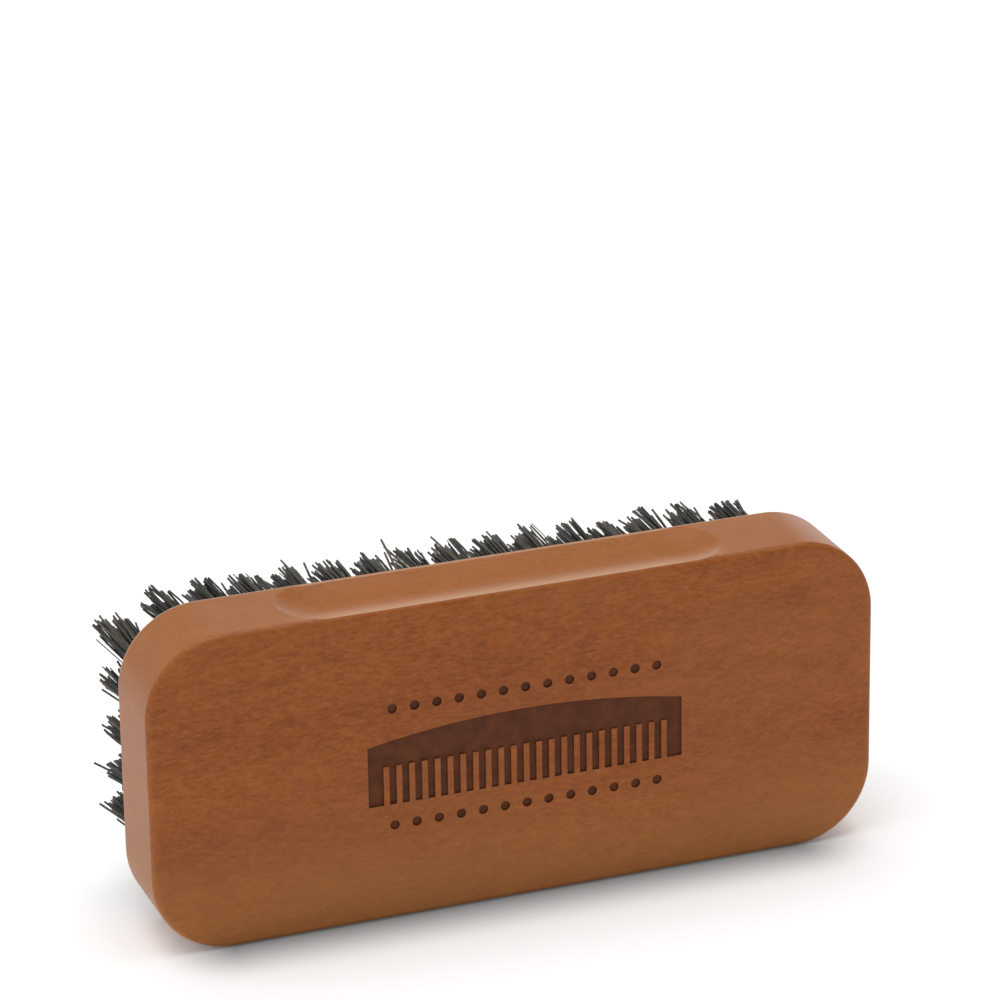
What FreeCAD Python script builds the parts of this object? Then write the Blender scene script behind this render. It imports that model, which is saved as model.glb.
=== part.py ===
import FreeCAD, Part
import os

# Fade brush for a barber: a one-piece wooden block, held in the fingers, with short stiff
# bristles set in it as tufts.  Each tuft is folded round a flat wire anchor, and the anchor
# is driven into a blind hole in the block.
#
# Millimetres, +Z up.  The brush stands on one long side, as it stands on a shelf: X runs
# along its length, the marked face looks to -Y and the bristles point to +Y.  The origin is
# under the middle of the whole brush, on the surface that it stands on.

# Wooden block
BLOCK_LENGTH = 115.0
BLOCK_HEIGHT = 50.0
BLOCK_THICKNESS = 14.6
CORNER_RADIUS = 12.2
FRONT_EDGE_ROUND = 1.0
BRISTLE_EDGE_ROUND = 0.6

# Finger groove along each long side, the path of a round-nosed cutter
GROOVE_DEPTH = 1.5
GROOVE_LIP = 0.2
GROOVE_END_MARGIN = 29.5

# Pattern of the tufts: the first and last row leave out their two corner tufts
COLUMNS = 17
ROWS = 7
END_MARGIN = 6.3
SIDE_MARGIN = 5.5

# Holes and tufts; a lean is the step along X of a tuft for each millimetre of its length
HOLE_DIAMETER = 2.6
HOLE_DEPTH = 9.0
TUFT_CLEARANCE = 0.03
BRISTLE_FREE_LENGTH = 15.4
TIP_DIAMETER = 4.7
END_COLUMN_LEAN = 0.1
LEAN_TO_ONE_SIDE = -0.05
LEAN_POWER = 3

# Flat wire anchors
WIRE_THICKNESS = 0.35
WIRE_WIDTH = 1.5
WIRE_BITE = 0.4
WIRE_ABOVE_HOLE_END = 0.7

# Burnt mark on the front face: a plain comb between two rows of beads
MARK_DEPTH = 0.3
MARK_RIGHT_OF_MIDDLE = 1.0
MARK_BELOW_MIDDLE = 0.2
COMB_LENGTH = 50.0
COMB_SPINE = 3.4
COMB_CROWN = 2.4
COMB_TEETH = 22
COMB_TOOTH_LENGTH = 6.2
COMB_TOOTH_WIDTH = 1.1
COMB_END_TOOTH_WIDTH = 2.4
BEADS_IN_ROW = 13
BEAD_DIAMETER = 1.5
BEAD_ROW_LENGTH = 42.0
BEAD_ROW_GAP = 3.4

# Places that follow from the sizes above
FRONT_Y = -(BLOCK_THICKNESS + BRISTLE_FREE_LENGTH) / 2
BRISTLE_FACE_Y = FRONT_Y + BLOCK_THICKNESS
TIP_Y = BRISTLE_FACE_Y + BRISTLE_FREE_LENGTH
HOLE_END_Y = BRISTLE_FACE_Y - HOLE_DEPTH
COLUMN_PITCH = (BLOCK_LENGTH - 2 * END_MARGIN) / (COLUMNS - 1)
ROW_PITCH = (BLOCK_HEIGHT - 2 * SIDE_MARGIN) / (ROWS - 1)
WIRE_LENGTH = HOLE_DIAMETER + 2 * WIRE_BITE
MARK_Z = BLOCK_HEIGHT / 2 - MARK_BELOW_MIDDLE
COMB_HEIGHT = COMB_CROWN + COMB_SPINE + COMB_TOOTH_LENGTH
ALONG_X = FreeCAD.Vector(1, 0, 0)
ALONG_Y = FreeCAD.Vector(0, 1, 0)


def box(x0, x1, y0, y1, z0, z1):
    """A box between three pairs of coordinates."""
    return Part.makeBox(x1 - x0, y1 - y0, z1 - z0, FreeCAD.Vector(x0, y0, z0))


def disc(x, y, z, radius):
    """The outline of a disc that faces along Y."""
    return Part.Wire(Part.makeCircle(radius, FreeCAD.Vector(x, y, z), ALONG_Y))


def one_solid(shape):
    """The single solid of a cut, which comes back wrapped in a compound."""
    assert len(shape.Solids) == 1
    return shape.Solids[0]


# ---- Block -------------------------------------------------------------------------------

def block_blank():
    """The sawn block with its four large rounded corners."""
    half = BLOCK_LENGTH / 2
    blank = box(-half, half, FRONT_Y, BRISTLE_FACE_Y, 0, BLOCK_HEIGHT)
    corners = [edge for edge in blank.Edges if edge.BoundBox.YLength > BLOCK_THICKNESS / 2]
    return blank.makeFillet(CORNER_RADIUS, corners)


def finger_groove(on_top):
    """What the round-nosed cutter takes off one long side: a bar with ball ends."""
    half_width = BLOCK_THICKNESS / 2 - GROOVE_LIP
    radius = (half_width ** 2 + GROOVE_DEPTH ** 2) / (2 * GROOVE_DEPTH)
    lift = radius - GROOVE_DEPTH
    y = (FRONT_Y + BRISTLE_FACE_Y) / 2
    z = BLOCK_HEIGHT + lift if on_top else -lift
    travel = BLOCK_LENGTH - 2 * GROOVE_END_MARGIN
    start = FreeCAD.Vector(-travel / 2, y, z)
    end = FreeCAD.Vector(travel / 2, y, z)
    bar = Part.makeCylinder(radius, travel, start, ALONG_X)
    return bar.fuse([Part.makeSphere(radius, start), Part.makeSphere(radius, end)])


def round_outline(solid, face_y, radius):
    """Round every edge of the flat face at face_y."""
    flat = 1e-4
    edges = [edge for edge in solid.Edges
             if abs(edge.BoundBox.YMin - face_y) < flat and abs(edge.BoundBox.YMax - face_y) < flat]
    return solid.makeFillet(radius, edges)


def shaped_block():
    """The block before drilling: its corners and edges are rounded, then the grooves are cut."""
    solid = round_outline(block_blank(), FRONT_Y, FRONT_EDGE_ROUND)
    solid = round_outline(solid, BRISTLE_FACE_Y, BRISTLE_EDGE_ROUND)
    return one_solid(solid.cut([finger_groove(True), finger_groove(False)]).removeSplitter())


# ---- Mark --------------------------------------------------------------------------------

def comb_spine():
    """The comb's back, a bar whose upper edge is a shallow arc, as deep as the mark."""
    x0 = MARK_RIGHT_OF_MIDDLE - COMB_LENGTH / 2
    x1 = MARK_RIGHT_OF_MIDDLE + COMB_LENGTH / 2
    top = MARK_Z + COMB_HEIGHT / 2
    shoulder = top - COMB_CROWN
    root = shoulder - COMB_SPINE
    corners = [FreeCAD.Vector(x, FRONT_Y, z)
               for x, z in ((x0, shoulder), (x0, root), (x1, root), (x1, shoulder))]
    sides = [Part.makeLine(corners[i], corners[i + 1]) for i in range(3)]
    crown = Part.Arc(corners[3], FreeCAD.Vector(MARK_RIGHT_OF_MIDDLE, FRONT_Y, top), corners[0])
    return Part.Face(Part.Wire(sides + [crown.toShape()])).extrude(ALONG_Y * MARK_DEPTH)


def comb_teeth():
    """The comb's teeth, pointing down, with a broad one at each end."""
    x0 = MARK_RIGHT_OF_MIDDLE - COMB_LENGTH / 2
    far_tooth = x0 + COMB_LENGTH - COMB_END_TOOTH_WIDTH
    room = COMB_LENGTH - 2 * COMB_END_TOOTH_WIDTH
    gap = (room - COMB_TEETH * COMB_TOOTH_WIDTH) / (COMB_TEETH + 1)
    first = x0 + COMB_END_TOOTH_WIDTH + gap
    teeth = [(x0, COMB_END_TOOTH_WIDTH), (far_tooth, COMB_END_TOOTH_WIDTH)]
    teeth += [(first + i * (gap + COMB_TOOTH_WIDTH), COMB_TOOTH_WIDTH) for i in range(COMB_TEETH)]
    foot = MARK_Z - COMB_HEIGHT / 2
    return [box(x, x + width, FRONT_Y, FRONT_Y + MARK_DEPTH, foot, foot + COMB_TOOTH_LENGTH)
            for x, width in teeth]


def beads():
    """Two rows of round dots, one above the comb and one below it."""
    away = COMB_HEIGHT / 2 + BEAD_ROW_GAP
    step = BEAD_ROW_LENGTH / (BEADS_IN_ROW - 1)
    first = MARK_RIGHT_OF_MIDDLE - BEAD_ROW_LENGTH / 2
    centres = [FreeCAD.Vector(first + i * step, FRONT_Y, MARK_Z + side * away)
               for side in (-1, 1) for i in range(BEADS_IN_ROW)]
    return [Part.makeCylinder(BEAD_DIAMETER / 2, MARK_DEPTH, centre, ALONG_Y) for centre in centres]


# ---- Tufts -------------------------------------------------------------------------------

def tuft_sites(column):
    """The place and lean of each tuft in one column, as (x, z, lean)."""
    across = (2 * column - (COLUMNS - 1)) / (COLUMNS - 1)
    x = across * COLUMN_PITCH * (COLUMNS - 1) / 2
    lean = LEAN_TO_ONE_SIDE + END_COLUMN_LEAN * across ** LEAN_POWER
    end_column = column in (0, COLUMNS - 1)
    rows = range(1, ROWS - 1) if end_column else range(ROWS)
    return [(x, SIDE_MARGIN + row * ROW_PITCH, lean) for row in rows]


def tuft_hole(x, z):
    """The blind hole that one tuft is driven into."""
    return Part.makeCylinder(HOLE_DIAMETER / 2, HOLE_DEPTH, FreeCAD.Vector(x, HOLE_END_Y, z), ALONG_Y)


def anchor(x, z):
    """A flat wire set edge on across the grain, its two ends biting into the wood."""
    y0 = HOLE_END_Y + WIRE_ABOVE_HOLE_END
    return box(x - WIRE_THICKNESS / 2, x + WIRE_THICKNESS / 2, y0, y0 + WIRE_WIDTH,
               z - WIRE_LENGTH / 2, z + WIRE_LENGTH / 2)


def tuft(x, z, lean):
    """The outer shape of one tuft: straight in its hole, then spreading and leaning."""
    radius = HOLE_DIAMETER / 2 - TUFT_CLEARANCE
    tip = disc(x + lean * BRISTLE_FREE_LENGTH, TIP_Y, z, TIP_DIAMETER / 2)
    rings = [disc(x, HOLE_END_Y, z, radius), disc(x, BRISTLE_FACE_Y, z, radius), tip]
    return one_solid(Part.makeLoft(rings, True, True).cut(anchor(x, z)))


# ---- Files -------------------------------------------------------------------------------

def write(name, shape):
    """Write one node and print its size."""
    shape.exportStep(f"parts/{name}.step")
    print(f"{name}: {len(shape.Solids)} solids, {shape.Volume:.1f} mm3, valid {shape.isValid()}")


def main():
    os.makedirs("parts", exist_ok=True)
    columns = [tuft_sites(column) for column in range(COLUMNS)]
    drilling = [tool(x, z) for sites in columns for x, z, _ in sites for tool in (tuft_hole, anchor)]
    mark = [comb_spine().fuse(comb_teeth())] + beads()
    write("wooden_block", one_solid(shaped_block().cut(mark + drilling)))
    for number, sites in enumerate(columns, 1):
        write(f"tuft_column_{number:02}", Part.makeCompound([tuft(*site) for site in sites]))
        write(f"anchor_column_{number:02}", Part.makeCompound([anchor(x, z) for x, z, _ in sites]))


main()
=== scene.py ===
# %% [markdown]
# # A barber's fade brush
# A flat block of reddish brown wood, held between thumb and fingers, with short stiff
# bristles set in one face.  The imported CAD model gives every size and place; this script
# gives the brush its looks.  All lengths are in metres, in the frame of the CAD model: X
# along the brush, Z up, the marked face towards -Y and the bristles towards +Y.

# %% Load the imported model
import bmesh
import bpy
import math
import numpy as np
import random
from mathutils import Matrix, Vector


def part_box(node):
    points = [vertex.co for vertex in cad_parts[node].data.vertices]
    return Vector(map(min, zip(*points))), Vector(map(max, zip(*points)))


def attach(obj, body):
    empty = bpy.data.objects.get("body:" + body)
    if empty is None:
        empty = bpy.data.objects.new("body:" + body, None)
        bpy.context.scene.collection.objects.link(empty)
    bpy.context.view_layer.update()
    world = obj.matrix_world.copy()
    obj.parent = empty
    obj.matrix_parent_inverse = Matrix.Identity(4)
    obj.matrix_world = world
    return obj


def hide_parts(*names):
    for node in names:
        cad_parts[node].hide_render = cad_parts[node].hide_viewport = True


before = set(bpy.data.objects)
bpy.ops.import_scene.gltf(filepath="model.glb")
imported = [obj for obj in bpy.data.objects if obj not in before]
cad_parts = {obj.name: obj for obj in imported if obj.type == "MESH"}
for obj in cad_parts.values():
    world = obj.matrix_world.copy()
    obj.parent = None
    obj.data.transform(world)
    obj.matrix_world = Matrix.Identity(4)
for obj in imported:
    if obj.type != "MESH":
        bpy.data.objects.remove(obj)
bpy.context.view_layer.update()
MM = 0.001

# %% [markdown]
# ## Sizes read from the frame
# Everything below is placed from the boxes of the CAD nodes, so the block's flat faces and
# the tips of the tufts are read once here.  The few sizes that a box can't give, such as a
# radius, are the block maker's own settings.

# %% Sizes of the block
block_low, block_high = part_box("wooden_block")
FRONT_Y = block_low.y
FACE_Y = block_high.y
LENGTH = block_high.x - block_low.x
HEIGHT = block_high.z
THICKNESS = FACE_Y - FRONT_Y
MID_Y = (FRONT_Y + FACE_Y) / 2
CORNER_RADIUS = 12.2 * MM
FRONT_ROUND = 1.0 * MM
FACE_ROUND = 0.6 * MM
print("block in mm:", [round(v / MM, 2) for v in (LENGTH, THICKNESS, HEIGHT)])

# %% [markdown]
# ## Camera
# The brush is seen from its front left, a little from above, through a long lens that
# hardly narrows the far end.  The camera is turned in three steps, as on a tripod head:
# round the upright axis, down, and a small roll.

# %% Camera
VIEW_AZIMUTH = -20.37
VIEW_ELEVATION = 21.54
VIEW_ROLL = -0.883
VIEW_DISTANCE = 0.72524
LENS_MM = 177.1
SENSOR_MM = 36.0
LOOK_AT = Vector((0.0001, MID_Y, 0.061445))


def stand_camera():
    """Makes the camera, VIEW_DISTANCE away from the point that it looks at."""
    data = bpy.data.cameras.new("studio_camera")
    data.lens = LENS_MM
    data.sensor_width = SENSOR_MM
    data.clip_start = 0.01
    camera = bpy.data.objects.new("studio_camera", data)
    bpy.context.scene.collection.objects.link(camera)
    turn = (Matrix.Rotation(math.radians(VIEW_AZIMUTH), 4, "Z")
            @ Matrix.Rotation(math.radians(90 - VIEW_ELEVATION), 4, "X")
            @ Matrix.Rotation(math.radians(VIEW_ROLL), 4, "Z"))
    back = turn.to_3x3() @ Vector((0, 0, 1))
    camera.matrix_world = Matrix.Translation(LOOK_AT + back * VIEW_DISTANCE) @ turn
    bpy.context.scene.camera = camera
    return camera


print("camera at", [round(v, 3) for v in stand_camera().matrix_world.translation])

# %% [markdown]
# ## Shader maths as plain expressions
# A finish is a sum of patterns.  To write it as one, `Value` wraps a socket, so that
# `1 - grain * 0.3` adds the Math nodes by itself.  Every other node comes from one method,
# `Finish.node`, which takes the node's type, its settings and the values of its sockets.

# %% Shader helper
class Value:
    """A socket whose value varies over a surface."""

    def __init__(self, finish, socket):
        self.finish = finish
        self.socket = socket

    def maths(self, operation, left, right=0.0):
        return self.finish.node("ShaderNodeMath", {"operation": operation}, {0: left, 1: right})

    def __add__(self, other):
        return self.maths("ADD", self, other)

    def __sub__(self, other):
        return self.maths("SUBTRACT", self, other)

    def __rsub__(self, other):
        return self.maths("SUBTRACT", other, self)

    def __mul__(self, other):
        return self.maths("MULTIPLY", self, other)

    def __pow__(self, other):
        return self.maths("POWER", self, other)

    __radd__ = __add__
    __rmul__ = __mul__

    def above(self, limit):
        return self.maths("GREATER_THAN", self, limit)

    def below(self, limit):
        return self.maths("LESS_THAN", self, limit)

    def at_least(self, limit):
        return self.maths("MAXIMUM", self, limit)

    def size(self):
        return self.maths("ABSOLUTE", self)


class Finish:
    """One material: a Principled shader and the nodes that feed it."""

    def __init__(self, name, **uniform):
        self.material = bpy.data.materials.new(name)
        self.material.use_nodes = True
        self.tree = self.material.node_tree
        self.shader = self.tree.nodes["Principled BSDF"]
        for socket, value in uniform.items():
            self.shader.inputs[socket.replace("_", " ")].default_value = value

    def node(self, kind, settings=None, inputs=None, output=0):
        """Adds a node, sets it up, joins its inputs, and returns one of its outputs."""
        node = self.tree.nodes.new(kind)
        for name, value in (settings or {}).items():
            if name == "stops":
                self.set_stops(node.color_ramp, value)
            else:
                setattr(node, name, value)
        for key, value in (inputs or {}).items():
            self.join(node.inputs[key], value)
        return Value(self, node.outputs[output])

    def set_stops(self, ramp, stops):
        while len(ramp.elements) < len(stops):
            ramp.elements.new(1.0)
        for element, (place, colour) in zip(ramp.elements, stops):
            element.position = place
            element.color = (*colour, 1.0)

    def join(self, socket, value):
        if isinstance(value, Value):
            self.tree.links.new(value.socket, socket)
        elif isinstance(value, tuple) and socket.type == "RGBA":
            socket.default_value = (*value, 1.0)
        else:
            socket.default_value = value

    def feed(self, **sockets):
        """Joins patterns to the Principled shader's own sockets."""
        for name, value in sockets.items():
            self.join(self.shader.inputs[name.replace("_", " ")], value)

    def place(self):
        return self.node("ShaderNodeTexCoord", output="Object")

    def split(self, vector):
        """The three numbers of a vector."""
        node = self.tree.nodes.new("ShaderNodeSeparateXYZ")
        self.join(node.inputs[0], vector)
        return [Value(self, node.outputs[i]) for i in range(3)]

    def noise(self, vector, grains_per_metre, detail=3.0, roughness=0.5, distortion=0.0, shift=(0, 0, 0)):
        """Soft noise from 0 to 1 with its own number of grains per metre along each axis."""
        stretched = self.node("ShaderNodeMapping", None,
                              {"Vector": vector, "Scale": grains_per_metre, "Location": shift})
        return self.node("ShaderNodeTexNoise", None,
                         {"Vector": stretched, "Scale": 1.0, "Detail": detail, "Roughness": roughness,
                          "Distortion": distortion})

    def ramp(self, value, stops):
        """A colour read off a scale of stops."""
        return self.node("ShaderNodeValToRGB", {"stops": stops}, {0: value})

    def blend(self, factor, first, second):
        """Mixes two colours."""
        return self.node("ShaderNodeMix", {"data_type": "RGBA", "blend_type": "MIX"},
                         {0: factor, 6: first, 7: second}, output=2)

    def step(self, value, low, high):
        """0 below low, 1 above high, and a soft slope between them."""
        return self.node("ShaderNodeMapRange", {"interpolation_type": "SMOOTHSTEP"},
                         {"Value": value, "From Min": low, "From Max": high})

    def bump(self, height, distance, strength=1.0):
        return self.node("ShaderNodeBump", None,
                         {"Height": height, "Distance": distance, "Strength": strength})


# %% [markdown]
# ## Tools for modelling by hand
# Blender's operators act on whatever is selected.  These helpers leave one piece selected,
# and pick faces or edges by where they are, as a modeller would with the mouse.

# %% Modelling helpers
def select_only(piece):
    bpy.ops.object.select_all(action="DESELECT")
    piece.select_set(True)
    bpy.context.view_layer.objects.active = piece


def edit(piece, what="FACE"):
    """Goes into edit mode with nothing selected."""
    select_only(piece)
    bpy.ops.object.mode_set(mode="EDIT")
    bpy.ops.mesh.select_mode(type=what)
    bpy.ops.mesh.select_all(action="DESELECT")


def pick(piece, kind, test):
    """Selects the vertices, edges or faces that pass a test, and says how many."""
    mesh = bmesh.from_edit_mesh(piece.data)
    parts = getattr(mesh, kind)
    parts.ensure_lookup_table()
    chosen = [part for part in parts if test(part)]
    for part in chosen:
        part.select_set(True)
    mesh.select_flush_mode()
    bmesh.update_edit_mesh(piece.data)
    return len(chosen)


def done(piece):
    """Leaves edit mode and puts the piece's place in its mesh."""
    if bpy.context.mode != "OBJECT":
        bpy.ops.object.mode_set(mode="OBJECT")
    select_only(piece)
    bpy.ops.object.transform_apply(location=True, rotation=True, scale=True)
    return piece


def cube(name, low, high):
    """A cube primitive between two corners."""
    centre = (low + high) / 2
    bpy.ops.object.select_all(action="DESELECT")
    bpy.ops.mesh.primitive_cube_add(size=1.0, location=centre)
    piece = bpy.context.active_object
    piece.name = name
    piece.scale = high - low
    return done(piece)


def copy_of(piece, name, move):
    """A copy with its own mesh, moved."""
    copy = piece.copy()
    copy.data = piece.data.copy()
    copy.data.transform(Matrix.Translation(move))
    copy.name = name
    bpy.context.scene.collection.objects.link(copy)
    return copy


def join(pieces, name):
    """Several pieces as one."""
    select_only(pieces[0])
    for piece in pieces:
        piece.select_set(True)
    bpy.ops.object.join()
    pieces[0].name = name
    return pieces[0]


def cut(piece, cutter):
    """Takes the cutter's shape out of the piece and throws the cutter away."""
    select_only(piece)
    modifier = piece.modifiers.new("cut", "BOOLEAN")
    modifier.operation = "DIFFERENCE"
    modifier.solver = "EXACT"
    modifier.object = cutter
    bpy.ops.object.modifier_apply(modifier=modifier.name)
    bpy.data.objects.remove(cutter, do_unlink=True)


# %% [markdown]
# ## The block
# On the real brush this is one board of a fine-grained fruit wood, sawn, given large round
# corners, and sanded along its edges.  It could be a copy of the CAD mesh, but a board that
# is bevelled here gets even, narrow faces on its rounds, which shade without a facet.

# %% Saw the board and round its corners and edges
CORNER_SEGMENTS = 24
EDGE_SEGMENTS = 8
TINY = 0.01 * MM

block = cube("block", Vector((-LENGTH / 2, FRONT_Y, 0)), Vector((LENGTH / 2, FACE_Y, HEIGHT)))
edit(block, "EDGE")
pick(block, "edges", lambda e: abs(e.verts[0].co.y - e.verts[1].co.y) > THICKNESS / 2)
bpy.ops.mesh.bevel(offset=CORNER_RADIUS, segments=CORNER_SEGMENTS, profile=0.5, affect="EDGES")
for face_y, radius in ((FRONT_Y, FRONT_ROUND), (FACE_Y, FACE_ROUND)):
    bpy.ops.mesh.select_all(action="DESELECT")
    pick(block, "edges", lambda e: all(abs(v.co.y - face_y) < TINY for v in e.verts))
    bpy.ops.mesh.bevel(offset=radius, segments=EDGE_SEGMENTS, profile=0.5, affect="EDGES")
done(block)
print("rounded board:", len(block.data.polygons), "faces")

# %% [markdown]
# ## Finger grooves
# A round-nosed cutter has run along both long sides and lifted out again at each end.  What
# it takes away is a ball stretched into a bar.  A ball with an odd number of rings has a
# belt of faces round its middle, so pulling its two halves apart stretches only that belt.

# %% Cut the finger grooves
GROOVE_DEPTH = 1.5 * MM
GROOVE_HALF_WIDTH = THICKNESS / 2 - 0.2 * MM
GROOVE_TRAVEL = 56 * MM
NOSE_RADIUS = (GROOVE_HALF_WIDTH ** 2 + GROOVE_DEPTH ** 2) / (2 * GROOVE_DEPTH)
NOSE_SEGMENTS = 144
NOSE_RINGS = 73

for edge_z, lift in ((HEIGHT, NOSE_RADIUS - GROOVE_DEPTH), (0.0, GROOVE_DEPTH - NOSE_RADIUS)):
    bpy.ops.object.select_all(action="DESELECT")
    bpy.ops.mesh.primitive_uv_sphere_add(segments=NOSE_SEGMENTS, ring_count=NOSE_RINGS, radius=NOSE_RADIUS,
                                         location=(0, MID_Y, edge_z + lift), rotation=(0, math.pi / 2, 0))
    nose = done(bpy.context.active_object)
    for side in (-1, 1):
        edit(nose, "VERT")
        pick(nose, "verts", lambda v: v.co.x * side > 0)
        bpy.ops.transform.translate(value=(side * GROOVE_TRAVEL / 2, 0, 0))
        done(nose)
    cut(block, nose)
print("grooved:", len(block.data.polygons), "faces")

# %% [markdown]
# ## Where the tufts stand
# The tufts stand in 17 columns of 7, without the four corner ones.  The places could be
# worked out again from the pattern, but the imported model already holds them.  An anchor is
# set across the middle of its hole, so a column's anchors say where its holes are, and the
# box of its tufts says how far their tips lean.  Holes and bristles both use this list.

# %% Places of the tufts
COLUMNS = 17
ROWS = 7
TIP_RADIUS = 2.35 * MM
WIRE_HALF_LENGTH = 1.7 * MM


def tip_step(low, high, foot):
    """How far a tip leans from its foot, read from the side where the tuft reaches further."""
    to_low, to_high = foot - low, high - foot
    return TIP_RADIUS - to_low if to_low > to_high else to_high - TIP_RADIUS


def tufts_of(number):
    """The place of each tuft in a column, and how far its tip leans along X: x, z, step."""
    wire_low, wire_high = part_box(f"anchor_column_{number:02}")
    tuft_low, tuft_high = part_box(f"tuft_column_{number:02}")
    rows = ROWS - 2 if number in (1, COLUMNS) else ROWS
    x = (wire_low.x + wire_high.x) / 2
    step = tip_step(tuft_low.x, tuft_high.x, x)
    feet = np.linspace(wire_low.z + WIRE_HALF_LENGTH, wire_high.z - WIRE_HALF_LENGTH, rows)
    return [(x, float(z), step) for z in feet]


tuft_columns = [tufts_of(number) for number in range(1, COLUMNS + 1)]
print("tufts:", sum(len(column) for column in tuft_columns))
for column in (tuft_columns[0], tuft_columns[COLUMNS // 2], tuft_columns[-1]):
    print("first tuft of a column, x, z and lean in mm:", [round(v / MM, 2) for v in column[0]])

# %% [markdown]
# ## Drilled holes
# Each tuft stands in its own blind hole.  The bit leaves a slightly broken edge round the
# mouth, which catches the light between the tufts.  One cutter is made, narrowed below its
# mouth by an extrude, and copied to each tuft's place, so that a single cut drills them all.

# %% Drill the holes
HOLE_RADIUS = 1.3 * MM
HOLE_DEPTH = 9.0 * MM
MOUTH_DEPTH = 0.12 * MM
MOUTH_RADIUS = 1.42 * MM

bpy.ops.object.select_all(action="DESELECT")
bpy.ops.mesh.primitive_cylinder_add(vertices=20, radius=MOUTH_RADIUS, depth=MOUTH_DEPTH,
                                    location=(0, FACE_Y, 0), rotation=(math.pi / 2, 0, 0))
bit = done(bpy.context.active_object)
edit(bit)
pick(bit, "faces", lambda f: f.normal.y < -0.9)
bpy.ops.transform.resize(value=(HOLE_RADIUS / MOUTH_RADIUS,) * 3)
bpy.ops.mesh.extrude_region_move(TRANSFORM_OT_translate={"value": (0, -HOLE_DEPTH, 0)})
done(bit)
bits = [copy_of(bit, "bit", (x, 0, z)) for column in tuft_columns for x, z, _ in column]
bpy.data.objects.remove(bit)
cut(block, join(bits, "bits"))
print("drilled:", len(block.data.polygons), "faces")

# %% [markdown]
# ## The burnt mark
# The maker burns a shallow mark into the front face.  Here it is a plain comb between two
# rows of beads.  It is real depth, a third of a millimetre, so its edges catch the light as
# burnt wood does.  One tooth and one bead are made and copied.

# %% Burn the mark
MARK_DEPTH = 0.3 * MM
MARK_CENTRE = Vector((1.0 * MM, FRONT_Y, 24.8 * MM))
COMB_LENGTH = 50 * MM
COMB_SPINE = 3.4 * MM
COMB_CROWN = 2.4 * MM
COMB_TEETH = 22
TOOTH_LENGTH = 6.2 * MM
TOOTH_WIDTH = 1.1 * MM
END_TOOTH_WIDTH = 2.4 * MM
BEADS = 13
BEAD_RADIUS = 0.75 * MM
BEAD_ROW = 42 * MM
BEAD_GAP = 3.4 * MM
MARK_HALF_HEIGHT = (COMB_CROWN + COMB_SPINE + TOOTH_LENGTH) / 2


def mark_bar(name, x0, x1, z0, z1):
    """A bar that reaches from in front of the face down to the depth of the mark."""
    low = MARK_CENTRE + Vector((x0, -MARK_DEPTH, z0))
    return cube(name, low, MARK_CENTRE + Vector((x1, MARK_DEPTH, z1)))


def comb_spine():
    """The comb's back: a bar whose upper edge is lifted to a shallow arc."""
    shoulder = MARK_HALF_HEIGHT - COMB_CROWN
    spine = mark_bar("spine", -COMB_LENGTH / 2, COMB_LENGTH / 2, shoulder - COMB_SPINE, shoulder)
    edit(spine, "EDGE")
    pick(spine, "edges", lambda e: abs(e.verts[0].co.x - e.verts[1].co.x) > COMB_LENGTH / 2)
    bpy.ops.mesh.subdivide(number_cuts=31)
    mesh = bmesh.from_edit_mesh(spine.data)
    arc_radius = ((COMB_LENGTH / 2) ** 2 + COMB_CROWN ** 2) / (2 * COMB_CROWN)
    for v in mesh.verts:
        if abs(v.co.z - MARK_CENTRE.z - shoulder) < TINY:
            v.co.z += math.sqrt(arc_radius ** 2 - (v.co.x - MARK_CENTRE.x) ** 2) - (arc_radius - COMB_CROWN)
    bmesh.update_edit_mesh(spine.data)
    return done(spine)


def comb_teeth():
    """The teeth, with a broad one at each end.  They overlap the spine a little."""
    root = MARK_HALF_HEIGHT - COMB_CROWN - COMB_SPINE + TINY
    foot = -MARK_HALF_HEIGHT
    half = COMB_LENGTH / 2
    room = COMB_LENGTH - 2 * END_TOOTH_WIDTH
    gap = (room - COMB_TEETH * TOOTH_WIDTH) / (COMB_TEETH + 1)
    first = -half + END_TOOTH_WIDTH + gap
    ends = [mark_bar("end_tooth", x, x + END_TOOTH_WIDTH, foot, root)
            for x in (-half, half - END_TOOTH_WIDTH)]
    tooth = mark_bar("tooth", first, first + TOOTH_WIDTH, foot, root)
    copies = [copy_of(tooth, "tooth", (i * (gap + TOOTH_WIDTH), 0, 0)) for i in range(1, COMB_TEETH)]
    return ends + [tooth] + copies


def bead_rows():
    """Two rows of beads, one above the comb and one below it."""
    bpy.ops.object.select_all(action="DESELECT")
    bpy.ops.mesh.primitive_cylinder_add(vertices=24, radius=BEAD_RADIUS, depth=2 * MARK_DEPTH,
                                        location=MARK_CENTRE, rotation=(math.pi / 2, 0, 0))
    bead = done(bpy.context.active_object)
    step = BEAD_ROW / (BEADS - 1)
    rows = [copy_of(bead, "bead", (-BEAD_ROW / 2 + i * step, 0, side * (MARK_HALF_HEIGHT + BEAD_GAP)))
            for side in (-1, 1) for i in range(BEADS)]
    bpy.data.objects.remove(bead)
    return rows


for part in [comb_spine()] + comb_teeth() + bead_rows():
    cut(block, part)
print("marked:", len(block.data.polygons), "faces")

# %% [markdown]
# ## Shading of the block
# The rounds should shade as one surface and the flats stay flat.  Smoothing by angle keeps
# the sharp edges of the holes and the mark, and weighting the normals by the size of the
# faces stops the large flats from picking up the tilt of the narrow rounds beside them.

# %% Smooth the block
SMOOTH_ANGLE = math.radians(35)
select_only(block)
bpy.ops.object.shade_smooth_by_angle(angle=SMOOTH_ANGLE)
weigh = block.modifiers.new("weigh", "WEIGHTED_NORMAL")
weigh.keep_sharp = True
weigh.weight = 50
bpy.ops.object.modifier_apply(modifier=weigh.name)
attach(block, "root")
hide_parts("wooden_block")
print("shaded block, in place of the CAD one:", block.name)

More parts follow.
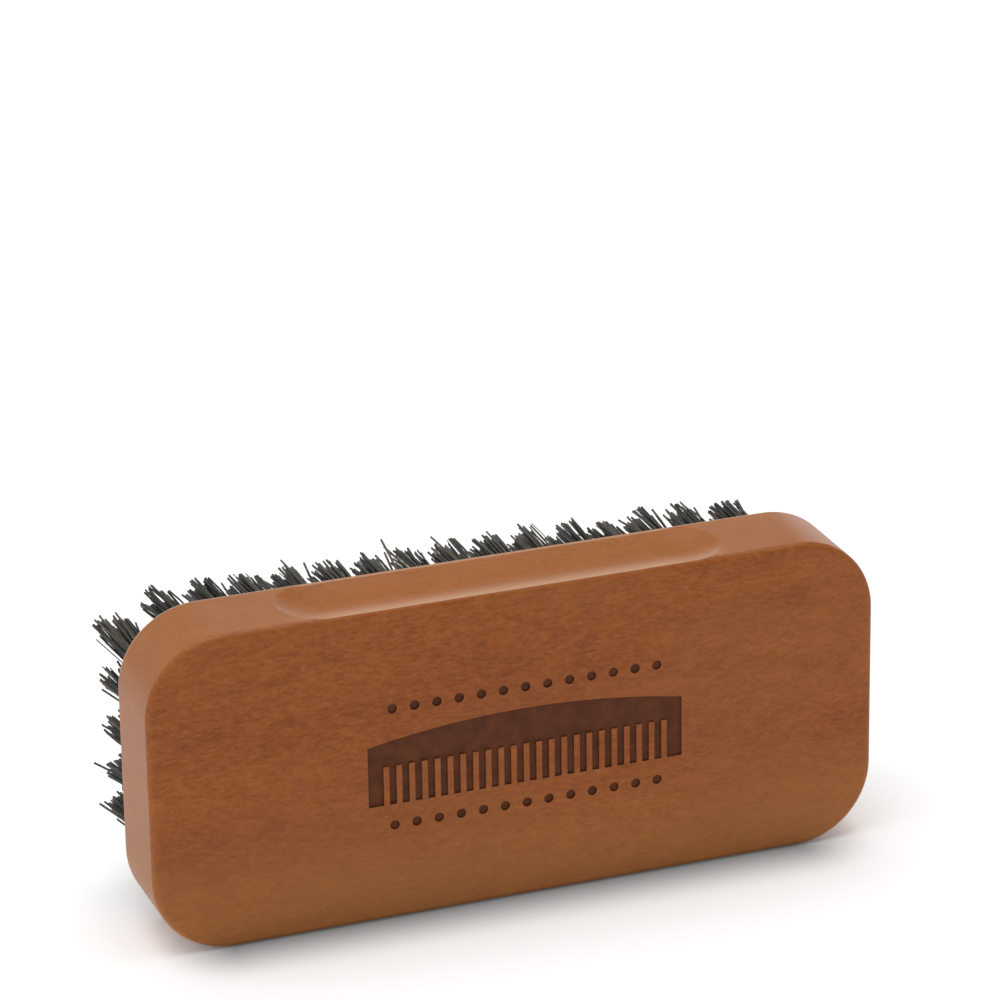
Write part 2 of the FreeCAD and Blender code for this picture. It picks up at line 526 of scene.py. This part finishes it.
# %% [markdown]
# ## Regions of the block
# Wear, the burnt mark, a painted sheen on the grooves, a painted highlight along the back edge
# and painted shade in the drilled holes each belong to one region of the block.  The regions
# could be painted on the mesh by hand, but worked out from the position they stay sharp at
# any size.  Each helper gives 1 inside its region and 0 outside, or a distance.

# %% Masks on the block
KNOT = Vector((45 * MM, FRONT_Y, 42 * MM))
LIP_SHEEN_HALF_LENGTH = 37 * MM
LIP_SHEEN_END_FADE = 13 * MM
LIP_SHEEN_WIDTH = 7.5 * MM
LIP_SHEEN_SIDE_FADE = 6 * MM


def knot_mask(finish, place):
    """1 in a faint small knot near one corner of the front, fading to 0 round it."""
    warped = finish.node("ShaderNodeMapping", None, {"Vector": place, "Location": tuple(-KNOT)})
    reach = finish.node("ShaderNodeVectorMath", {"operation": "LENGTH"}, {0: warped}, output="Value")
    swirl = finish.noise(place, (260, 260, 420), detail=2, shift=(7, 7, 1))
    return finish.step(reach + swirl * 2 * MM, 3.6 * MM, 1.6 * MM)


def outline_inset(x, z):
    """How far inside the block's rounded outline a point is, in metres."""
    side = (x.size() - (LENGTH / 2 - CORNER_RADIUS)).at_least(0.0)
    rise = ((z - HEIGHT / 2).size() - (HEIGHT / 2 - CORNER_RADIUS)).at_least(0.0)
    return CORNER_RADIUS - (side * side + rise * rise) ** 0.5


def mark_mask(x, y, z):
    """1 in the burnt mark, 0 elsewhere."""
    deep = y.above(FRONT_Y + 0.03 * MM) * y.below(FRONT_Y + 0.6 * MM)
    wide = (x - MARK_CENTRE.x).size().below(COMB_LENGTH / 2 + 1 * MM)
    tall = (z - MARK_CENTRE.z).size().below(MARK_HALF_HEIGHT + BEAD_GAP + 2 * MM)
    return deep * wide * tall


def lip_sheen_mask(finish, x, y):
    """1 on the front lip of the grooves, where a sheen is painted, fading towards their ends."""
    along = finish.step(x.size(), LIP_SHEEN_HALF_LENGTH, LIP_SHEEN_HALF_LENGTH - LIP_SHEEN_END_FADE)
    return along * finish.step(y, FRONT_Y + LIP_SHEEN_WIDTH, FRONT_Y + LIP_SHEEN_WIDTH - LIP_SHEEN_SIDE_FADE)


def back_edge_highlight_mask(finish, y, inset):
    """1 on the narrow round between the sides and the bristle face, where a highlight is painted."""
    near_back = finish.step(y, FACE_Y - 0.9 * MM, FACE_Y - 0.5 * MM)
    return near_back * finish.step(inset, 0.9 * MM, 0.2 * MM)


print("knot in mm:", [round(v / MM, 1) for v in KNOT])

# %% [markdown]
# ## The wood
# A close, even wood such as pear: fine short fibres that run along the brush, a soft mottle,
# faint broad figure, short dark pores and one faint knot.  A paler band low on the front is
# painted light, standing in for light thrown up from the floor.  The sides show paler grain
# than the face, and the oiled skin is paler still where it is rubbed along the front edges.
# A painted sheen lies on the front lip of each groove, and a painted highlight along the
# round next to the bristle face.  An image of wood could be wrapped round the block, but
# worked out in the solid it runs through from side to side, so the short sides show end
# grain, as they would if the block were sawn.

# %% Wood finish
HOLE_INSET = 3.0 * MM
BOUNCE_BAND_HEIGHT = 20 * MM
SIDE_START = 0.4 * MM
SIDE_FULL = 1.4 * MM


def wood_finish():
    """Oiled wood, with its wear and the burnt mark, and painted light: a sheen, a highlight, a paler low
    band and shade inside the holes.
    """
    finish = Finish("oiled_wood", Specular_IOR_Level=0.19)
    place = finish.place()
    x, y, z = finish.split(place)
    figure = finish.noise(place, (12, 60, 75), detail=3, distortion=0.6)
    mottle = finish.noise(place, (220, 480, 520), detail=3, roughness=0.6, shift=(4, 1, 6))
    fibres = finish.noise(place, (900, 2500, 2500), detail=3, roughness=0.65)
    pores = finish.noise(place, (900, 4200, 4200), detail=2, shift=(3, 5, 7))
    clouds = finish.noise(place, (22, 30, 40), detail=2, shift=(1, 2, 9))

    tone = 0.5 + (figure - 0.5) * 0.45 + (mottle - 0.5) * 0.35 + (fibres - 0.5) * 0.95
    colour = finish.ramp(tone, ((0.30, (0.225, 0.056, 0.010)), (0.45, (0.285, 0.076, 0.014)),
                                (0.58, (0.330, 0.093, 0.018)), (0.75, (0.385, 0.118, 0.027))))
    colour = finish.blend(finish.step(clouds, 0.40, 0.66) * 0.30, colour, (0.330, 0.118, 0.034))
    # Painted light: a paler band low on the front stands in for light thrown up from the floor.
    colour = finish.blend(finish.step(z, BOUNCE_BAND_HEIGHT, 2 * MM) * 0.45, colour, (0.430, 0.185, 0.055))
    pore_mask = finish.step(pores, 0.66, 0.74)
    colour = finish.blend(pore_mask * 0.25, colour, (0.120, 0.032, 0.012))
    colour = finish.blend(knot_mask(finish, place) * 0.20, colour, (0.130, 0.034, 0.010))

    side_grain = finish.step(y, FRONT_Y + SIDE_START, FRONT_Y + SIDE_FULL)
    colour = finish.blend(side_grain * 0.4, colour, (0.385, 0.157, 0.044))
    inset = outline_inset(x, z)
    near_front = finish.step(y, FRONT_Y + 1.6 * MM, FRONT_Y + 0.2 * MM)
    rubbed = finish.step(inset, 1.8 * MM, 0.2 * MM) * near_front
    colour = finish.blend(rubbed * 0.08, colour, (0.450, 0.190, 0.070))
    # Painted sheen: the front lip of each groove is made paler, standing in for the shine it shows at a
    # shallow angle.
    lip_sheen = lip_sheen_mask(finish, x, y) * side_grain
    colour = finish.blend(lip_sheen * 0.70, colour, (0.540, 0.310, 0.160))
    # Painted highlight: a pale line along the round next to the bristle face.
    back_edge_highlight = back_edge_highlight_mask(finish, y, inset)
    colour = finish.blend(back_edge_highlight * 0.4, colour, (0.700, 0.480, 0.350))

    mark = mark_mask(x, y, z)
    soot = finish.noise(place, (500, 900, 500), detail=3, shift=(9, 4, 2))
    burnt = finish.ramp(soot, ((0.35, (0.090, 0.025, 0.008)), (0.65, (0.125, 0.036, 0.012))))
    colour = finish.blend(mark, colour, burnt)
    # Painted shade: the inside of each hole is darkened, standing in for the shadow in it.
    drilled = inset.above(HOLE_INSET) * y.above(FRONT_Y + 1.0 * MM) * y.below(FACE_Y - 0.05 * MM)
    colour = finish.blend(drilled * 0.7, colour, (0.060, 0.022, 0.010))

    rough = 0.36 + fibres * 0.10 - rubbed * 0.05 + mark * 0.25
    height = fibres * 0.6 - pore_mask * 0.5 + mottle * 0.3
    finish.feed(Base_Color=colour, Roughness=rough, Normal=finish.bump(height, 0.03 * MM, 0.6))
    return finish.material


block.data.materials.clear()
block.data.materials.append(wood_finish())
print("wood on", block.name)

# %% [markdown]
# ## One bristle
# A bristle is a stiff, nearly straight hair, a third of a millimetre thick, cut off square
# or at a slant.  One is modelled: a five-sided rod of unit length, extruded in four steps
# so that it can bend, with a slanted tip.  Its points are then placed for every bristle of
# the brush, so each one stays a few dozen faces.

# %% Model one bristle
BRISTLE_SIDES = 5
BRISTLE_STEPS = 4


def unit_bristle():
    """A rod of radius 1 and length 1 along +Z, as (points, faces)."""
    bpy.ops.object.select_all(action="DESELECT")
    bpy.ops.mesh.primitive_cylinder_add(vertices=BRISTLE_SIDES, radius=1.0, depth=1 / BRISTLE_STEPS,
                                        location=(0, 0, 0.5 / BRISTLE_STEPS))
    rod = done(bpy.context.active_object)
    edit(rod)
    for _ in range(1, BRISTLE_STEPS):
        bpy.ops.mesh.select_all(action="DESELECT")
        pick(rod, "faces", lambda f: f.normal.z > 0.9)
        bpy.ops.mesh.extrude_region_move(TRANSFORM_OT_translate={"value": (0, 0, 1 / BRISTLE_STEPS)})
    done(rod)
    points = np.array([v.co for v in rod.data.vertices])
    faces = [tuple(f.vertices) for f in rod.data.polygons]
    bpy.data.objects.remove(rod)
    return points, faces


rod_points, rod_faces = unit_bristle()
print("one bristle:", len(rod_points), "points,", len(rod_faces), "faces")

# %% [markdown]
# ## A tuft of bristles
# A tuft is a bunch folded in half and stapled into its hole, so it leaves the wood tightly
# packed and opens towards its tips.  Bristles cling together in small locks, each lock with
# its own direction, and within a tuft the lengths differ by a millimetre or two, the outer
# ones shorter.  A few stray hairs stand apart, and the upper tufts of the first column have
# been bent upwards in use.  Blender's hair would grow the same, but it isn't a mesh, so the
# rod is laid out along each bristle instead.  Each column has a seeded generator of its own,
# so the brush is the same each time.

# %% Grow the tufts
LOCKS_PER_TUFT = 18
BRISTLES_PER_LOCK = 4
FREE_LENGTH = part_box("tuft_column_01")[1].y - FACE_Y
START_Y = FACE_Y - 1.2 * MM
PACKED_RADIUS = 1.1 * MM
STRAY_SHARE = 0.09
FINE_SHARE = 0.12
LOWEST_TIP = 0.5 * MM
SPIRAL_TURN = 2.4
STRAY_SPREAD = 1.2 * MM
TIP_SPREAD = 0.12 * MM
LOCK_SPREAD = 0.25 * MM
BEND_SPREAD = 0.2 * MM
THICK_RADII = (0.16, 0.205)
FINE_RADII = (0.08, 0.11)
BENT_UP = 5.2 * MM
OUTER_DROP = 0.6 * MM


def tip_of(chance, foot, opened, length):
    """Where one bristle ends.  A few are strays, and none reaches the floor."""
    loose = STRAY_SPREAD if chance.random() < STRAY_SHARE else TIP_SPREAD
    x, z = (foot[i] + opened[i] + chance.gauss(0, loose) for i in range(2))
    return np.array((x, FACE_Y + length, max(z, LOWEST_TIP)))


def grow_tuft(chance, x, z, step, bent_up):
    """Every bristle of one tuft, as (root, tip, bend, thickness)."""
    height = FREE_LENGTH + chance.gauss(0, 0.25 * MM)
    hairs = []
    for number in range(LOCKS_PER_TUFT):
        angle = number * SPIRAL_TURN + chance.uniform(-0.4, 0.4)
        reach = math.sqrt((number + 0.5) / LOCKS_PER_TUFT)
        centre = (reach * math.cos(angle), reach * math.sin(angle))
        lock = [chance.gauss(0, LOCK_SPREAD) for _ in range(2)]
        lock_height = height + chance.gauss(0, 0.5 * MM) - OUTER_DROP * reach ** 2
        for _ in range(BRISTLES_PER_LOCK):
            place = [c + chance.gauss(0, 0.12) for c in centre]
            foot = (x + place[0] * PACKED_RADIUS, z + place[1] * PACKED_RADIUS)
            opened = [place[i] * (TIP_RADIUS - PACKED_RADIUS) + lock[i] for i in range(2)]
            length = lock_height + chance.gauss(0, 0.4 * MM)
            tip = tip_of(chance, foot, (opened[0] + step, opened[1] + bent_up), length)
            root = np.array((foot[0], START_Y, foot[1]))
            bend = np.array((chance.gauss(0, BEND_SPREAD), 0, chance.gauss(0, BEND_SPREAD)))
            radii = FINE_RADII if chance.random() < FINE_SHARE else THICK_RADII
            hairs.append((root, tip, bend, chance.uniform(*radii) * MM))
    return hairs


def bristle_points(root, tip, bend, thickness, slant):
    """The unit rod's points, bent along one bristle.

    Known fault: this lays the rod out as its mirror image, so the bristles' faces point
    inwards.  Reversing each face's list of points in unit_bristle would turn them outwards.
    """
    along = rod_points[:, 2:3].copy()
    at_tip = along[:, 0] > 0.99
    along[at_tip, 0] += slant * rod_points[at_tip, 0] * thickness / np.linalg.norm(tip - root)
    axis = (tip - root) / np.linalg.norm(tip - root)
    side = np.cross(axis, (0.0, 0.0, 1.0))
    side /= np.linalg.norm(side)
    other = np.cross(axis, side)
    return (root + (tip - root) * along + bend * 4 * along * (1 - along)
            + (rod_points[:, 0:1] * other + rod_points[:, 1:2] * side) * thickness)


def bristle_column(number, tufts):
    """The bristles of one column of tufts, as one piece with a UV map along each bristle."""
    chance = random.Random(1000 + number)
    points, faces, uvs = [], [], []
    for x, z, step in tufts:
        above_middle = max(0.0, z - HEIGHT / 2) / (HEIGHT / 2)
        bent_up = BENT_UP * above_middle if number == 1 else 0.0
        for root, tip, bend, thickness in grow_tuft(chance, x, z, step, bent_up):
            first = len(points) * len(rod_points)
            points.append(bristle_points(root, tip, bend, thickness, chance.uniform(-0.6, 0.6)))
            kind = chance.random()
            for face in rod_faces:
                faces.append([first + i for i in face])
                uvs += [(kind, rod_points[i, 2]) for i in face]
    mesh = bpy.data.meshes.new(f"bristles_column_{number:02}")
    mesh.from_pydata(np.concatenate(points).tolist(), [], faces)
    layer = mesh.uv_layers.new(name="bristle")
    layer.data.foreach_set("uv", np.array(uvs, dtype=np.float32).ravel())
    piece = bpy.data.objects.new(mesh.name, mesh)
    bpy.context.scene.collection.objects.link(piece)
    select_only(piece)
    bpy.ops.object.shade_smooth_by_angle(angle=math.radians(80))
    return piece


bristle_pieces = []
for number, tufts in enumerate(tuft_columns, 1):
    piece = bristle_column(number, tufts)
    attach(piece, "root")
    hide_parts(f"tuft_column_{number:02}")
    bristle_pieces.append(piece)
print("bristles:", sum(len(p.data.polygons) for p in bristle_pieces) // len(rod_faces))

# %% [markdown]
# ## The bristle's finish
# The bristles are grey-black with a dull shine.  Each one has its own depth of colour, read
# from its own number in the UV map, and some are olive brown at the cut end, where the core
# of the hair shows.  Object coordinates alone couldn't tell one bristle from the next, which
# is why each one carries its number and its length in a UV map.

# %% Bristle finish
def bristle_finish():
    """Grey-black bristle, each one with its own depth of colour."""
    finish = Finish("stiff_bristle", Specular_IOR_Level=0.35)
    kind, along, _ = finish.split(finish.node("ShaderNodeUVMap", {"uv_map": "bristle"}))
    place = finish.place()
    colour = finish.ramp(kind, ((0.0, (0.018, 0.016, 0.013)), (0.5, (0.045, 0.042, 0.033)),
                                (0.85, (0.073, 0.067, 0.052)), (1.0, (0.110, 0.094, 0.067))))
    streak = finish.noise(place, (3000, 400, 3000), detail=2)
    colour = finish.blend(finish.step(streak, 0.45, 0.75) * 0.5, colour, (0.130, 0.128, 0.113))
    cut_end = kind.above(0.66) * finish.step(along, 0.93, 0.99)
    colour = finish.blend(cut_end * 0.75, colour, (0.150, 0.118, 0.072))
    # Darker towards the root of each bristle, where it leaves the hole.
    root_darkening = finish.step(along, 0.10, 0.0)
    colour = finish.blend(root_darkening * 0.4, colour, (0.020, 0.014, 0.010))
    rough = 0.42 + streak * 0.25
    finish.feed(Base_Color=colour, Roughness=rough, Normal=finish.bump(streak, 0.02 * MM, 0.5))
    return finish.material


bristle_material = bristle_finish()
for piece in bristle_pieces:
    piece.data.materials.append(bristle_material)
print("pieces with a bristle finish:", len(bristle_pieces))

# %% [markdown]
# ## The anchors
# The flat wire anchors are pressed into the wood at the feet of the tufts, out of sight.
# They are the CAD model's own pieces and only need a finish: drawn steel wire with fine
# lines along it and a few darker spots.

# %% Anchor finish
def wire_finish():
    """Drawn steel wire."""
    finish = Finish("drawn_wire", Metallic=1.0)
    place = finish.place()
    lines = finish.noise(place, (9000, 9000, 400), detail=2)
    spots = finish.noise(place, (1500, 1500, 1500), detail=2, shift=(2, 2, 2))
    colour = finish.ramp(lines, ((0.3, (0.42, 0.42, 0.41)), (0.7, (0.64, 0.63, 0.61))))
    colour = finish.blend(finish.step(spots, 0.6, 0.75) * 0.6, colour, (0.200, 0.150, 0.110))
    finish.feed(Base_Color=colour, Roughness=0.28 + lines * 0.2, Normal=finish.bump(lines, 0.01 * MM, 0.4))
    return finish.material


wire_material = wire_finish()
anchors = [node for name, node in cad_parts.items() if name.startswith("anchor_column")]
for node in anchors:
    for slot in node.material_slots:
        slot.material = wire_material
print("anchors with a wire finish:", len(anchors))

# %% [markdown]
# ## Studio
# The brush stands on a white sweep, lit a little from below as a product table is, under one
# large soft light and beside a weaker one.  A bright wall behind it is mirrored in whatever is
# seen at a shallow angle, so the top and the ends get a white sheen that the front lacks.
# The sweep is bright enough to burn out to white, so that only the soft shadow round the
# foot of the brush shows.  A painted shadow, a darker rim, is laid on the sweep there, because
# a block that stands on a lit table would otherwise seem to float.

# %% Floor and lights
FLOOR_SIZE = 6.0
SHADOW_RIM_WIDTH = 12 * MM
SHADOW_RIM_GREY = (0.040, 0.053, 0.058)


def paper_floor():
    """The white sweep, with a painted shadow, a darker rim, round the foot of the brush."""
    bpy.ops.object.select_all(action="DESELECT")
    bpy.ops.mesh.primitive_plane_add(size=FLOOR_SIZE, location=(0, 0, 0))
    floor = done(bpy.context.active_object)
    floor.name = "paper_floor"
    finish = Finish("white_paper", Roughness=0.9, Specular_IOR_Level=0.2,
                    Emission_Strength=0.24)
    place = finish.place()
    x, y, _ = finish.split(place)
    mottle = finish.noise(place, (40, 40, 40), detail=2)
    paper = finish.ramp(mottle, ((0.0, (0.89, 0.89, 0.89)), (1.0, (0.92, 0.92, 0.92))))
    beside = (x.size() - (LENGTH / 2 - CORNER_RADIUS)).at_least(0.0)
    before = ((y - MID_Y).size() - THICKNESS / 2).at_least(0.0)
    away = (beside * beside + before * before) ** 0.5
    # Painted shadow: the sweep is darkened round the foot of the brush.
    shadow_rim = finish.step(away, SHADOW_RIM_WIDTH, -SHADOW_RIM_WIDTH / 2)
    paper = finish.blend(shadow_rim, paper, SHADOW_RIM_GREY)
    finish.feed(Base_Color=paper, Emission_Color=paper)
    floor.data.materials.append(finish.material)


def soft_light(name, radiance, width, height, place, aim):
    """A rectangular area light that faces a point, given by how bright its face looks."""
    data = bpy.data.lights.new(name, "AREA")
    data.energy = radiance * math.pi * width * height
    data.shape = "RECTANGLE"
    data.size = width
    data.size_y = height
    light = bpy.data.objects.new(name, data)
    bpy.context.scene.collection.objects.link(light)
    light.location = place
    light.rotation_mode = "QUATERNION"
    light.rotation_quaternion = (Vector(aim) - Vector(place)).to_track_quat("-Z", "Y")
    return light


def sky(strength):
    """An even white surround."""
    world = bpy.data.worlds.new("white_surround")
    world.use_nodes = True
    background = world.node_tree.nodes["Background"]
    background.inputs["Color"].default_value = (1.0, 1.0, 1.0, 1.0)
    background.inputs["Strength"].default_value = strength
    bpy.context.scene.world = world


paper_floor()
sky(0.42)
soft_light("top_softbox", 2.3, 1.0, 1.0, (-0.05, 0.10, 1.0), (0, 0, 0.02))
soft_light("bright_wall", 1.6, 1.8, 0.32, (0.3, 1.1, 0.17), (0, 0, 0.03))
soft_light("left_panel", 0.9, 0.8, 0.8, (-1.0, -0.15, 0.5), (0, 0, 0.03))
bpy.context.scene.view_settings.view_transform = "Standard"
